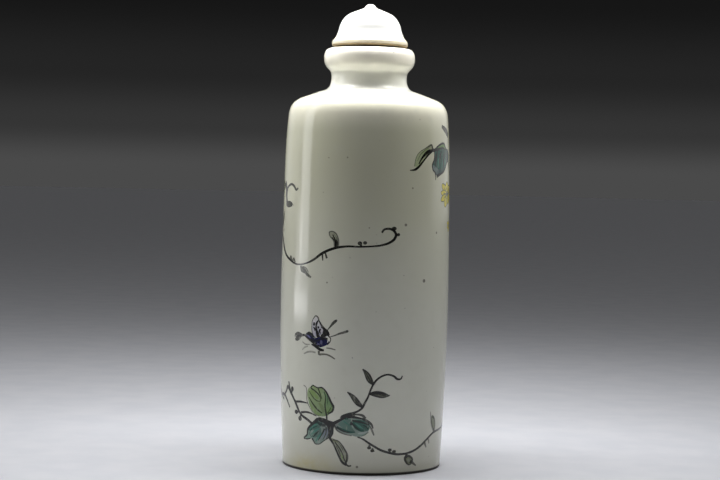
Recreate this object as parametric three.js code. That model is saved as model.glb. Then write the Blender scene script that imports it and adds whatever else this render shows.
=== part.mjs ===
// A small cylindrical porcelain snuff bottle with a domed porcelain stopper on a cork.
// Millimetres, +Z up. The origin is the centre of the foot, on the surface the bottle stands on.
import * as THREE from "three";

// A station is a point of a profile: its radius, its height above the foot, and how far the wall
// leans outwards there, in degrees from the vertical. A station with no lean is a sharp corner.

// Outside of the bottle, from the foot up
const FOOT_EDGE = { radius: 14.25, height: 0.3, lean: 3 };
const LOWER_WALL = { radius: 15.02, height: 20, lean: 1.4 };
const BELLY = { radius: 15.14, height: 30, lean: 0 };
const UPPER_WALL = { radius: 14.9, height: 50, lean: -0.8 };
const COLLAR = { radius: 14.42, height: 62.3, lean: -5 };
const SHOULDER_TURN = { radius: 13.75, height: 64.75, lean: -33 };
const SHOULDER = { radius: 12, height: 66, lean: -68 };
const NECK_BASE = { radius: 8.95, height: 67.12, lean: -70 };
const NECK_TURN = { radius: 7.15, height: 68.1, lean: -30 };
const NECK = { radius: 6.78, height: 69.7, lean: 0 };
const LIP_START = { radius: 7.1, height: 70.95, lean: 38 };
const LIP_UNDERSIDE = { radius: 7.8, height: 71.75, lean: 35 };
const LIP = { radius: 8.2, height: 73.4, lean: 0 };
const LIP_ROUNDING = { radius: 7.95, height: 74.4, lean: -30 };
const LIP_TOP = { radius: 7, height: 75, lean: -90 };

// Foot: a flat ring round a shallow recess
const FOOT_BEVEL = 0.3;
const FOOT_RING_WIDTH = 2.4;
const RECESS_DEPTH = 0.9;
const RECESS_SLOPE = 0.6; // how far the recess narrows in its depth

// Hollow inside
const WALL = 2.6;
const FLOOR_HEIGHT = 4.4;
const FLOOR_ROUNDING = 3.2;
const BORE_RADIUS = 3.6;
const MOUTH_ROUNDING = 0.5;
const INNER_COLLAR_HEIGHT = 60.8;
const INNER_SHOULDER = { radius: 8.6, height: 64.3, lean: -72 };
const BORE_BOTTOM = { radius: BORE_RADIUS, height: 67.2, lean: 0 };

// Stopper: the cork holds the cap a little above the lip
const CAP_GAP = 0.35;
const CAP_BASE_HEIGHT = LIP_TOP.height + CAP_GAP;
const RIM_ROUNDING = 0.35;
const CAP_RIM = { radius: 6.83, height: 76, lean: -3 };
const CAP_FLARE = { radius: 6.5, height: 76.6, lean: -42 };
const CAP_WAIST = { radius: 5.95, height: 77.5, lean: -22 };
const DOME_SIDE = { radius: 5.6, height: 78.6, lean: -9 };
const DOME_TURN = { radius: 5.02, height: 80, lean: -32 };
const DOME_TOP = { radius: 4, height: 81.08, lean: -58 };
const FINIAL_FOOT = { radius: 1.7, height: 82.08, lean: -66 };
const FINIAL_SIDE = { radius: 1, height: 82.45, lean: -35 };
const FINIAL_TURN = { radius: 0.62, height: 82.88, lean: -50 };
const FINIAL_TIP = { radius: 0, height: 83, lean: -90 };

// Cork, tapered down into the mouth
const CORK_CLEARANCE = 0.3;
const CORK_TAPER = 0.35;
const CORK_LENGTH = 7.2;
const CORK_BEVEL = 0.4;

const TURN_PER_FACET = 20; // most degrees of bend that one facet of a profile takes
const FACET_LENGTH = 8; // and the most of its length
const BOTTLE_SEGMENTS = 60;
const CAP_SEGMENTS = 48;
const CORK_SEGMENTS = 32;

const bodyPorcelain = new THREE.MeshStandardMaterial({ color: 0xd2d5c8, roughness: 0.15, metalness: 0 });
const capPorcelain = new THREE.MeshStandardMaterial({ color: 0xe9e7dc, roughness: 0.2, metalness: 0 });
const cork = new THREE.MeshStandardMaterial({ color: 0x7a5636, roughness: 0.85, metalness: 0 });

const corner = (radius, height) => ({ radius, height });
const vector = ({ radius, height }) => new THREE.Vector2(radius, height);

// The points between two stations: a straight facet from or to a corner, and otherwise a cubic
// that leaves and arrives at the two leans, with the handles of a round arc.
function stretch(from, to) {
  const start = vector(from);
  const end = vector(to);
  if (from.lean === undefined || to.lean === undefined) return [start, end];
  const bend = THREE.MathUtils.degToRad(Math.abs(to.lean - from.lean));
  const share = bend > 0 ? (2 / 3) * Math.tan(bend / 4) / Math.sin(bend / 2) : 1 / 3;
  const reach = share * start.distanceTo(end);
  const heading = (lean) => {
    const angle = THREE.MathUtils.degToRad(lean);
    return new THREE.Vector2(Math.sin(angle), Math.cos(angle)).multiplyScalar(reach);
  };
  const leaving = start.clone().add(heading(from.lean));
  const arriving = end.clone().sub(heading(to.lean));
  const facetsForBend = Math.ceil(Math.abs(to.lean - from.lean) / TURN_PER_FACET);
  const facetsForLength = Math.ceil(start.distanceTo(end) / FACET_LENGTH);
  const curve = new THREE.CubicBezierCurve(start, leaving, arriving, end);
  return curve.getPoints(Math.max(facetsForBend, facetsForLength));
}

// A whole profile through its stations, from the lowest up.
function profileThrough(stations) {
  const points = [vector(stations[0])];
  for (let i = 1; i < stations.length; i += 1) {
    points.push(...stretch(stations[i - 1], stations[i]).slice(1));
  }
  return points;
}

// Turns a profile round the Z axis.
function turned(name, profile, segments, material) {
  const geometry = new THREE.LatheGeometry(profile, segments).rotateX(Math.PI / 2);
  const mesh = new THREE.Mesh(geometry, material);
  mesh.name = name;
  return mesh;
}

// The outside runs from the middle of the recess, over the foot ring, to the flat of the lip.
function bottleOutside() {
  const ringInner = FOOT_EDGE.radius - FOOT_RING_WIDTH;
  return profileThrough([
    corner(0, RECESS_DEPTH),
    corner(ringInner - RECESS_SLOPE, RECESS_DEPTH),
    corner(ringInner, 0),
    corner(FOOT_EDGE.radius - FOOT_BEVEL, 0),
    FOOT_EDGE, LOWER_WALL, BELLY, UPPER_WALL, COLLAR, SHOULDER_TURN, SHOULDER,
    NECK_BASE, NECK_TURN, NECK, LIP_START, LIP_UNDERSIDE, LIP, LIP_ROUNDING, LIP_TOP,
  ]);
}

// The hollow runs from the middle of its round-edged floor to the mouth.
function bottleInside() {
  const floorRadius = FOOT_EDGE.radius - WALL;
  return profileThrough([
    corner(0, FLOOR_HEIGHT),
    { radius: floorRadius - FLOOR_ROUNDING, height: FLOOR_HEIGHT, lean: 90 },
    { radius: floorRadius, height: FLOOR_HEIGHT + FLOOR_ROUNDING, lean: FOOT_EDGE.lean },
    { radius: BELLY.radius - WALL, height: BELLY.height, lean: BELLY.lean },
    { radius: COLLAR.radius - WALL, height: INNER_COLLAR_HEIGHT, lean: COLLAR.lean },
    INNER_SHOULDER,
    BORE_BOTTOM,
    { radius: BORE_RADIUS, height: LIP_TOP.height - MOUTH_ROUNDING, lean: 0 },
    { radius: BORE_RADIUS + MOUTH_ROUNDING, height: LIP_TOP.height, lean: 90 },
  ]);
}

function bottle() {
  const wall = [...bottleOutside(), ...bottleInside().reverse()];
  return turned("bottle", wall, BOTTLE_SEGMENTS, bodyPorcelain);
}

// The cap has a round-edged rim, a flared waist, a dome and a small pointed finial.
function stopperCap() {
  const profile = profileThrough([
    corner(0, CAP_BASE_HEIGHT),
    { radius: CAP_RIM.radius - RIM_ROUNDING, height: CAP_BASE_HEIGHT, lean: 90 },
    { radius: CAP_RIM.radius, height: CAP_BASE_HEIGHT + RIM_ROUNDING, lean: 0 },
    CAP_RIM, CAP_FLARE, CAP_WAIST, DOME_SIDE, DOME_TURN, DOME_TOP,
    FINIAL_FOOT, FINIAL_SIDE, FINIAL_TURN, FINIAL_TIP,
  ]);
  return turned("stopper_cap", profile, CAP_SEGMENTS, capPorcelain);
}

function stopperCork() {
  const topRadius = BORE_RADIUS - CORK_CLEARANCE;
  const endRadius = topRadius - CORK_TAPER;
  const endHeight = CAP_BASE_HEIGHT - CORK_LENGTH;
  const profile = profileThrough([
    corner(0, endHeight),
    corner(endRadius - CORK_BEVEL, endHeight),
    corner(endRadius, endHeight + CORK_BEVEL),
    corner(topRadius, CAP_BASE_HEIGHT),
    corner(0, CAP_BASE_HEIGHT),
  ]);
  return turned("stopper_cork", profile, CORK_SEGMENTS, cork);
}

const snuffBottle = new THREE.Group();
snuffBottle.add(bottle(), stopperCap(), stopperCork());

export default snuffBottle;
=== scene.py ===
import math

import bpy
import numpy as np
from mathutils import Matrix, Vector
from mathutils.geometry import delaunay_2d_cdt


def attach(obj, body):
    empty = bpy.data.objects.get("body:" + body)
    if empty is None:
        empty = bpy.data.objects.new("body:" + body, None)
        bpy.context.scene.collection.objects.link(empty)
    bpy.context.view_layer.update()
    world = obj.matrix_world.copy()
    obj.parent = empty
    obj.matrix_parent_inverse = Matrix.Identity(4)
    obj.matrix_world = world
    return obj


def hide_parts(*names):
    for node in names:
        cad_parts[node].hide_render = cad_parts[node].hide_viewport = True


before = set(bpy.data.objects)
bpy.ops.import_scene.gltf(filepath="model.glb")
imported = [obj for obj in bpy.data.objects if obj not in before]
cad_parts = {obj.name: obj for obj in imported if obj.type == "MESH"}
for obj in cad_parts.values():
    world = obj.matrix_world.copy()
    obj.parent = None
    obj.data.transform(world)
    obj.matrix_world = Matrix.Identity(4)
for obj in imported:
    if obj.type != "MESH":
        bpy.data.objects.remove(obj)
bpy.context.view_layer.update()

# A cylindrical porcelain snuff bottle, painted in enamels with a butterfly, a vine and leaves,
# under a domed porcelain cap on a cork. Shapes and the painting are given in millimetres.
# An angle on the wall is in degrees from the middle of the front, growing to the right.
MM = 0.001

# A station of a profile: its radius, its height, and its heading in degrees. A heading of 0
# climbs, 90 runs outwards, -90 runs inwards and 180 or -180 goes down.
FOOT = [
    (0, 0.9, 90), (10.4, 0.9, 90), (11.1, 0.55, 135), (11.9, 0, 90), (13.95, 0, 90), (14.25, 0.3, 3),
]
WALL = [(14.25, 0.3, 3), (15.02, 20, 1.4), (15.14, 30, 0), (14.9, 50, -0.8), (14.42, 62.3, -5)]
SHOULDER_AND_NECK = [
    (14.42, 62.3, -5), (13.75, 64.75, -33), (12, 66, -68), (8.95, 67.12, -70), (7.15, 68.1, -30),
    (6.78, 69.7, 0), (7.1, 70.95, 38), (7.8, 71.75, 35), (8.2, 73.4, 0), (7.95, 74.4, -30),
    (7, 75, -90),
]
INSIDE = [
    (7, 75, -90), (4.1, 75, -90), (3.6, 74.5, -180), (3.6, 67.2, -180), (8.6, 64.3, -252),
    (11.82, 60.8, -185), (12.54, 30, -180), (11.65, 7.6, -177), (8.45, 4.4, -90), (0, 4.4, -90),
]
CAP = [
    (0, 75.35, 90), (6.48, 75.35, 90), (6.83, 75.7, 0), (6.83, 76, -3), (6.5, 76.6, -42),
    (5.95, 77.5, -22), (5.6, 78.6, -9), (5.02, 80, -32), (4, 81.08, -58), (1.7, 82.08, -66),
    (1, 82.45, -35), (0.62, 82.88, -50), (0, 83, -90),
]
CORK = [
    (0, 68.15, 90), (2.55, 68.15, 90), (2.95, 68.55, 2), (3.3, 75.2, 2), (3.1, 75.35, -90),
    (0, 75.35, -90),
]

AROUND = 180            # faces round the bottle and round its stopper
SEAM = 188              # the angle at which the wall is unrolled, where nothing is painted
WALL_RADIUS = 15.0      # the wall is unrolled at this radius
WALL_STEP = 0.9         # between the rows of the wall's own mesh
STROKE_STEP = 0.28      # between the points of a brush stroke
BRUSH = 1.18            # how full the brush is: a stroke's width for a weight of 1
ON_THE_EDGE = 1e-4      # points of the wall this close to its edge are on the edge
SAME_POINT = 1e-5       # painted points this close become one

# The longest facets of the other profiles, and the most degrees that any facet turns
FOOT_STEP = 1.2
NECK_STEP = 0.4
INSIDE_STEP = 2.5
CAP_STEP = 0.3
CORK_STEP = 0.5
MOST_TURN = 6

# Enamels, as the colours of the fired paint in daylight
INK = (0.003, 0.003, 0.002)
FAINT_INK = (0.042, 0.040, 0.026)
GREEN = (0.085, 0.190, 0.030)
PALE_GREEN = (0.200, 0.310, 0.085)
OLIVE = (0.080, 0.098, 0.030)
TEAL = (0.001, 0.066, 0.045)
PALE_TEAL = (0.055, 0.205, 0.150)
SLATE = (0.050, 0.075, 0.080)
YELLOW = (0.640, 0.540, 0.020)
NAVY = (0.003, 0.005, 0.050)
LILAC = (0.170, 0.170, 0.330)
WHITE = (0.660, 0.640, 0.650)
IRON = (0.060, 0.052, 0.035)

SCATTERED_SPECKS = 26
HIDDEN_SIDE = (82, 278)     # the angles between which the specks are scattered


def run_through(stations, spacing):
    """The profile through the stations: between two of them a cubic that leaves and arrives at their
    headings, with the handles of a round arc, cut so that no facet is longer than spacing or turns
    more than MOST_TURN."""
    pieces = [np.array([stations[0][:2]], float)]
    for start, end in zip(stations[:-1], stations[1:]):
        first, last = np.array(start[:2], float), np.array(end[:2], float)
        chord = np.linalg.norm(last - first)
        turn = math.radians(abs(end[2] - start[2]))
        reach = chord * (2 / 3 * math.tan(turn / 4) / math.sin(turn / 2) if turn else 1 / 3)
        headings = [math.radians(station[2]) for station in (start, end)]
        leaving, arriving = (reach * np.array([math.sin(h), math.cos(h)]) for h in headings)
        count = max(math.ceil(chord / spacing), math.ceil(math.degrees(turn) / MOST_TURN))
        t = np.linspace(0, 1, count + 1)[1:, None]
        pieces.append(
            (1 - t) ** 3 * first + 3 * (1 - t) ** 2 * t * (first + leaving)
            + 3 * (1 - t) * t ** 2 * (last - arriving) + t ** 3 * last
        )
    return np.vstack(pieces)


def outward(profile):
    """The outward normal at each point of a profile, as (along the radius, up): the heading turned
    a quarter to the right."""
    heading = np.gradient(profile, axis=0)
    normal = np.stack([heading[:, 1], -heading[:, 0]], axis=1)
    return normal / np.linalg.norm(normal, axis=1, keepdims=True)


def swing(radius, height, angle):
    """Points at the radius and height, swung to the angle, in radians from the front (-Y)."""
    return np.stack([radius * np.sin(angle), -radius * np.cos(angle), height], axis=-1)


def smooth(points, step):
    """A curve through a few points: Hermite cubics with tangents from the neighbours, cut at even
    steps."""
    points = np.asarray(points, float)
    chord = np.linalg.norm(np.diff(points, axis=0), axis=1)
    run = np.concatenate([[0], np.cumsum(chord)])
    tangent = np.gradient(points, run, axis=0)
    s = np.linspace(0, run[-1], max(3, math.ceil(run[-1] / step) + 1))
    i = np.clip(np.searchsorted(run, s, side="right") - 1, 0, len(chord) - 1)
    h = chord[i][:, None]
    t = ((s - run[i]) / chord[i])[:, None]
    return (
        (2 * t ** 3 - 3 * t ** 2 + 1) * points[i] + (t ** 3 - 2 * t ** 2 + t) * h * tangent[i]
        + (3 * t ** 2 - 2 * t ** 3) * points[i + 1] + (t ** 3 - t ** 2) * h * tangent[i + 1]
    )


class Brush:
    """Paints on the unrolled wall. Its points are millimetres to the right of and above a place on
    the wall, and may be turned, resized and mirrored there. What it lays is kept in order: a closed
    outline, the enamel at its two ends, and how well it covers."""

    laid = []

    def __init__(self, angle, height, size=1.0, turn=0.0, mirror=False):
        self.place = np.array([math.radians(angle) * WALL_RADIUS, height])
        c, s = size * math.cos(math.radians(turn)), size * math.sin(math.radians(turn))
        self.matrix = np.array([[c, s], [-s, c]]) * ([[-1], [1]] if mirror else 1)
        self.size = size

    def lay(self, outline, tint, end_tint, cover, axis):
        """Keeps an outline, moved to its place, and the axis along which its colour changes."""
        outline, axis = (points @ self.matrix + self.place for points in (outline, axis))
        Brush.laid.append((outline, tint, end_tint, cover, axis))

    def line(self, points, weights, tint=INK, cover=0.93):
        """A stroke along a curve through the points. Its width follows the weights from end to end."""
        path = smooth(points, STROKE_STEP / self.size)
        share = np.linspace(0, 1, len(path))
        half = 0.5 * BRUSH * np.interp(share, np.linspace(0, 1, len(weights)), weights)[:, None]
        heading = np.gradient(path, axis=0)
        length = np.linalg.norm(heading, axis=1, keepdims=True)
        side = np.stack([-heading[:, 1], heading[:, 0]], axis=1) / length
        outline = np.vstack([path + side * half, (path - side * half)[::-1]])
        self.lay(outline, tint, tint, cover, path[[0, -1]])

    def wash(self, *sides, tint, end_tint=None, cover=0.75):
        """Enamel inside a closed outline of one or more curved sides, each starting where the last
        one ended. It changes from tint, at the first point, to end_tint, at the far end."""
        outline = np.vstack([smooth(side, 2 * STROKE_STEP / self.size)[:-1] for side in sides])
        far = np.argmax(np.linalg.norm(outline - outline[0], axis=1))
        self.lay(outline, tint, end_tint or tint, cover, outline[[0, far]])

    def dot(self, x, y, radius, tint=INK, cover=0.9, squash=1.0):
        """A round dot, or an oval one where squash is not 1."""
        turn = np.linspace(0, 2 * math.pi, 12, endpoint=False)
        outline = np.array([x, y]) + radius * np.stack([np.cos(turn), squash * np.sin(turn)], axis=1)
        self.lay(outline, tint, tint, cover, outline[[0, 6]])


def green_leaf(b):
    """The bright leaf over the knot of the lower spray, with its folded edge."""
    b.wash(
        [(-0.7, 1.1), (-1.9, 0.9), (-3.1, 1.2), (-4.1, 2.1), (-4.7, 3.3), (-4.95, 4.4), (-4.8, 5.5),
         (-3.7, 6.3)],
        [(-3.7, 6.3), (-2.7, 5.9), (-1.9, 6.0), (-1.1, 5.4), (-0.4, 4.3), (0.1, 3.2), (0.4, 2.6),
         (0.1, 1.8), (-0.7, 1.1)],
        tint=GREEN, end_tint=PALE_GREEN, cover=0.78,
    )
    b.wash(
        [(-1.0, 1.4), (-1.1, 2.6), (-1.05, 4.2), (-1.6, 5.4)],
        [(-1.6, 5.4), (-0.5, 4.4), (0.3, 2.7), (0.1, 1.8), (-1.0, 1.4)],
        tint=PALE_GREEN, end_tint=PALE_TEAL, cover=0.5,
    )
    b.line([(-4.3, 5.3), (-3.5, 4.7), (-2.5, 4.0)], (0.5, 0.8, 0.3), tint=PALE_GREEN, cover=0.6)
    b.line([(-4.4, 3.0), (-3.2, 1.6), (-2.0, 1.2)], (0.3, 0.5, 0.3), tint=PALE_GREEN, cover=0.45)
    b.line([(-2.4, 3.3), (-1.8, 2.6), (-1.4, 1.7)], (0.3, 0.6, 0.4), tint=OLIVE, cover=0.3)
    b.line([(-3.7, 6.3), (-2.6, 5.9), (-1.8, 6.0), (-1.1, 5.5), (-0.5, 4.6), (0.0, 3.6), (0.5, 2.7),
            (0.3, 2.0), (-0.5, 1.5)], (0.16, 0.24, 0.3, 0.36, 0.24))
    b.line([(-3.6, 6.3), (-4.15, 5.85), (-3.3, 5.35), (-2.4, 4.7), (-2.0, 4.0), (-2.05, 3.6)],
           (0.2, 0.24, 0.22, 0.12), cover=0.85)
    b.line([(-4.55, 5.2), (-3.9, 4.4), (-3.2, 3.8), (-2.6, 3.55), (-2.0, 3.6)], (0.12, 0.22, 0.1),
           cover=0.7)
    b.line([(-4.6, 4.1), (-3.7, 3.0), (-2.6, 2.0), (-1.7, 1.5)], (0.14, 0.28, 0.18), cover=0.85)
    b.line([(-2.55, 5.8), (-2.15, 4.9), (-1.75, 4.0)], (0.22, 0.2, 0.08), cover=0.8)
    b.line([(-1.3, 5.3), (-1.05, 4.5), (-1.15, 2.9), (-0.85, 1.2)], (0.1, 0.22, 0.3), cover=0.85)
    b.line([(-0.7, 4.6), (-0.6, 3.8), (-0.75, 3.0)], (0.1, 0.14, 0.08), cover=0.6)
    b.line([(0.1, 2.9), (-0.2, 2.2), (-0.7, 1.6)], (0.08, 0.14, 0.16), cover=0.6)
    b.line([(-5.9, 6.1), (-5.3, 5.8), (-5.1, 4.7), (-5.1, 3.6), (-4.4, 2.3), (-3.4, 1.3), (-2.3, 0.9)],
           (0.16, 0.18, 0.16, 0.12), tint=FAINT_INK, cover=0.7)
    b.line([(-0.8, 1.5), (-0.8, 0.9), (-0.75, 0.3), (-0.3, -0.2)], (0.26, 0.3, 0.4))


def left_teal_leaf(b):
    """The leaf to the left of the knot: slate and teal enamel, pale ribs, dark veins between them,
    and a toothed edge."""
    b.wash(
        [(0.0, -0.3), (-1.0, 0.2), (-2.6, 0.5), (-4.0, -0.7), (-4.9, -1.6), (-5.1, -2.6), (-5.9, -3.2)],
        [(-5.9, -3.2), (-5.0, -3.3), (-4.1, -3.1), (-3.2, -3.9), (-2.6, -4.0), (-1.3, -3.3),
         (-0.4, -2.7), (0.1, -1.5), (0.0, -0.3)],
        tint=SLATE, end_tint=PALE_TEAL, cover=0.72,
    )
    b.wash([(-1.5, 0.2), (-2.7, 0.3), (-4.0, -0.8), (-4.8, -1.8)],
           [(-4.8, -1.8), (-3.4, -1.6), (-2.0, -0.9), (-1.5, 0.2)],
           tint=TEAL, cover=0.6)
    b.wash([(-2.0, -1.0), (-3.4, -2.0), (-4.2, -2.9)],
           [(-4.2, -2.9), (-3.0, -2.9), (-1.9, -2.2), (-2.0, -1.0)],
           tint=TEAL, cover=0.5)
    b.line([(-4.5, -1.5), (-3.5, -0.8), (-2.6, -0.4)], (0.1, 0.3, 0.12), tint=PALE_TEAL, cover=0.75)
    b.line([(-4.2, -2.5), (-3.2, -1.7), (-2.3, -1.2)], (0.12, 0.4, 0.14), tint=PALE_TEAL, cover=0.8)
    b.line([(-3.1, -3.6), (-2.5, -2.8), (-1.8, -2.0)], (0.12, 0.44, 0.12), tint=PALE_TEAL, cover=0.75)
    b.line([(-2.0, -3.1), (-1.4, -2.2), (-1.0, -1.3)], (0.08, 0.2, 0.1), tint=LILAC, cover=0.5)
    b.line([(-1.2, -2.9), (-0.7, -2.0), (-0.6, -1.2)], (0.08, 0.18, 0.1), tint=LILAC, cover=0.5)
    b.line([(-4.5, -1.9), (-3.6, -1.2), (-2.7, -0.8)], (0.12, 0.24, 0.14), tint=TEAL, cover=0.85)
    b.line([(-3.7, -2.9), (-3.0, -2.2), (-2.4, -1.7)], (0.12, 0.3, 0.14), cover=0.7)
    b.line([(-2.6, -3.4), (-1.9, -2.4), (-1.2, -1.2)], (0.1, 0.22, 0.3), cover=0.75)
    b.line([(-1.6, -3.2), (-1.0, -2.1), (-0.9, -0.9)], (0.08, 0.18, 0.26), cover=0.7)
    b.line([(-1.0, -3.0), (-0.4, -2.0), (-0.5, -1.0)], (0.08, 0.16, 0.26), cover=0.65)
    b.line([(-1.0, -0.6), (-2.0, -0.5), (-2.6, -0.2), (-3.4, -0.4)], (0.4, 0.5, 0.4, 0.2), cover=0.7)
    b.line([(-2.6, 0.45), (-4.0, -0.7), (-4.9, -1.6), (-5.1, -2.6), (-5.9, -3.25), (-5.0, -3.35),
            (-4.2, -3.1)],
           (0.5, 0.44, 0.3, 0.24, 0.12))
    b.line([(-4.3, -1.8), (-4.5, -2.4), (-4.1, -2.8)], (0.12, 0.16, 0.1), cover=0.5)
    b.dot(-3.8, -3.25, 0.2)
    b.line([(-3.7, -3.4), (-3.2, -4.0), (-2.6, -4.05), (-1.3, -3.3), (-0.4, -2.7)],
           (0.26, 0.18, 0.14, 0.2), cover=0.8)
    b.line([(-0.4, -0.5), (0.0, -1.5), (-0.4, -2.7)], (0.4, 0.3, 0.26))


def right_teal_leaf(b):
    """The leaf to the right of the knot: its two teal folds, the dark veins where they meet, the
    dark upper edge and the tip that bends down."""
    b.wash(
        [(0.6, -0.2), (1.7, 0.5), (2.6, 1.0), (4.1, 1.2), (5.8, 1.0), (6.8, 0.4), (7.3, -0.4)],
        [(7.3, -0.4), (6.9, -1.2), (6.4, -1.9), (5.0, -2.3), (3.6, -2.0), (2.2, -1.7), (1.2, -1.3),
         (0.6, -0.2)],
        tint=SLATE, end_tint=PALE_TEAL, cover=0.7,
    )
    b.wash([(1.3, -0.2), (2.4, 0.6), (3.7, 0.8)],
           [(3.7, 0.8), (4.0, -0.8), (4.6, -1.5), (2.8, -1.2), (1.3, -0.2)],
           tint=PALE_TEAL, end_tint=TEAL, cover=0.55)
    b.wash([(3.9, 0.6), (5.2, 0.7), (6.9, 0.3)],
           [(6.9, 0.3), (7.1, -0.5), (6.6, -1.3), (5.6, -1.4), (4.6, -0.9), (3.9, 0.6)],
           tint=TEAL, cover=0.75)
    b.line([(4.5, 0.1), (5.2, -0.4), (6.0, -0.9)], (0.1, 0.34, 0.1), tint=PALE_TEAL, cover=0.95)
    b.line([(5.0, 0.35), (5.8, 0.05), (6.5, -0.2)], (0.08, 0.18, 0.1), tint=PALE_TEAL, cover=0.7)
    b.line([(2.1, 0.5), (2.8, 0.1), (3.5, -0.4)], (0.1, 0.24, 0.1), tint=PALE_TEAL, cover=0.6)
    b.line([(5.0, -1.7), (5.9, -1.6), (6.7, -1.3)], (0.2, 0.4, 0.2), tint=WHITE, cover=0.25)
    b.line([(1.1, -0.7), (2.4, -1.25), (3.4, -1.5), (4.5, -1.5)], (0.3, 0.44, 0.36, 0.14), tint=TEAL,
           cover=0.9)
    b.line([(1.1, -0.8), (2.3, -1.35), (3.6, -1.65)], (0.24, 0.3, 0.1), cover=0.75)
    b.line([(3.9, 0.1), (4.8, -0.8), (6.1, -1.3)], (0.3, 0.44, 0.16), tint=TEAL, cover=0.95)
    b.line([(3.7, 0.3), (4.4, -0.5), (5.4, -1.15)], (0.26, 0.24, 0.1), cover=0.7)
    b.line([(3.9, 0.55), (5.4, 0.3), (7.0, -0.15)], (0.26, 0.3, 0.22), cover=0.85)
    b.line([(5.9, -0.2), (6.5, -0.5), (6.9, -1.0)], (0.12, 0.24, 0.14), cover=0.6)
    b.dot(3.75, -0.1, 0.22)
    b.line([(0.6, -0.1), (1.7, 0.5), (2.6, 1.0), (4.1, 1.15), (5.7, 0.9)], (0.5, 0.4, 0.44, 0.36, 0.24))
    b.wash([(1.8, 0.8), (2.5, 1.35), (3.4, 1.5), (4.6, 1.5)],
           [(4.6, 1.5), (3.9, 1.1), (2.7, 0.9), (1.8, 0.8)],
           tint=INK, cover=0.75)
    b.line([(1.8, 0.9), (2.5, 1.4), (3.5, 1.45), (4.5, 1.75)], (0.3, 0.36, 0.34, 0.2))
    b.dot(2.9, 0.8, 0.3, tint=TEAL, squash=0.6)
    b.line([(3.9, 1.2), (5.0, 1.1), (6.0, 0.85)], (0.2, 0.2, 0.12), cover=0.75)
    b.line([(4.3, 1.6), (5.2, 1.6), (5.9, 1.4), (6.35, 0.95)], (0.24, 0.3, 0.4, 0.3), cover=0.85)
    b.line([(5.7, 0.95), (6.8, 0.4), (7.4, -0.1), (7.7, -0.8)], (0.34, 0.4, 0.36, 0.2), cover=0.85)
    b.line([(7.1, -0.3), (7.5, -1.1), (7.9, -2.0)], (0.16, 0.34, 0.2), cover=0.75)
    b.line([(6.9, -1.4), (6.3, -1.9), (5.6, -2.2)], (0.16, 0.14, 0.08), tint=FAINT_INK, cover=0.6)
    b.line([(0.6, -0.3), (1.2, -1.3), (2.4, -1.85), (3.9, -2.15)], (0.3, 0.24, 0.2, 0.12), cover=0.75)


def olive_leaf(b):
    """The thin leaf that hangs from the lower spray to the foot."""
    b.wash(
        [(-0.2, -2.8), (0.6, -3.1), (1.4, -3.2), (2.1, -3.8), (2.65, -4.6), (3.05, -5.5), (3.1, -6.3),
         (2.95, -7.2)],
        [(2.95, -7.2), (2.3, -6.9), (1.65, -6.0), (1.1, -4.9), (0.6, -3.8), (-0.2, -2.8)],
        tint=OLIVE, cover=0.58,
    )
    b.line([(0.0, -2.8), (0.7, -3.1), (1.5, -3.4)], (0.3, 0.4, 0.2), tint=OLIVE, cover=0.6)
    b.line([(0.4, -3.0), (1.4, -3.15), (2.1, -3.8), (2.65, -4.6), (3.1, -5.5), (3.1, -6.4), (2.9, -7.1),
            (3.4, -7.5), (3.9, -7.4)], (0.12, 0.18, 0.24, 0.34, 0.34, 0.2), cover=0.85)
    b.line([(-0.3, -2.6), (0.6, -3.9), (1.1, -4.9), (1.65, -6.0), (2.3, -6.95), (3.0, -7.3)],
           (0.4, 0.26, 0.3, 0.4))
    b.line([(0.8, -3.4), (1.8, -4.6), (2.35, -5.6), (2.6, -6.6)], (0.24, 0.24, 0.14), cover=0.75)
    b.line([(1.0, -4.0), (1.6, -5.0), (1.9, -5.9)], (0.1, 0.2, 0.1), cover=0.7)
    b.line([(1.5, -3.5), (2.1, -4.3), (2.6, -5.3)], (0.1, 0.18, 0.1), cover=0.6)
    b.line([(2.2, -5.9), (2.6, -6.3), (2.8, -6.9)], (0.1, 0.16, 0.2), cover=0.7)
    b.line([(1.9, -5.2), (2.2, -5.9), (2.3, -6.5)], (0.1, 0.24, 0.1), tint=PALE_GREEN, cover=0.6)


def bare_twig(b):
    """The twig to the left of the lower spray, with its side shoots and buds."""
    b.line([(-3.9, -0.5), (-5.1, 0.15), (-6.4, 0.7), (-7.2, 1.4), (-8.2, 2.8), (-9.3, 4.0),
            (-10.1, 4.9), (-10.5, 6.3)],
           (0.42, 0.4, 0.38, 0.5, 0.42, 0.6, 0.34))
    b.line([(-8.2, 2.95), (-6.6, 3.1), (-4.9, 3.0)], (0.34, 0.32, 0.16))
    b.line([(-6.6, 1.2), (-5.1, 1.4), (-4.0, 1.25), (-2.9, 0.9)], (0.34, 0.3, 0.14))
    b.dot(-8.0, 1.15, 0.5, squash=0.8)
    b.dot(-6.9, 0.1, 0.5, squash=0.9)
    b.line([(-8.0, 1.1), (-7.2, 1.3)], (0.3, 0.34))
    b.line([(-6.9, 0.2), (-6.7, 0.7)], (0.3, 0.3))
    b.dot(-9.2, 5.1, 0.46)
    b.line([(-9.5, 4.3), (-9.2, 5.0)], (0.4, 0.4))
    b.line([(-9.9, 4.6), (-11.0, 5.3), (-11.6, 4.5), (-12.7, 3.7)], (0.4, 0.56, 0.4, 0.34), cover=0.88)
    b.line([(-16.0, 5.0), (-14.6, 3.7), (-13.0, 2.8)], (0.5, 0.6, 0.4), cover=0.85)
    b.line([(-14.4, 3.6), (-12.7, 3.75), (-11.7, 3.2), (-10.2, 1.7)], (0.4, 0.5, 0.34), cover=0.85)


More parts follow.
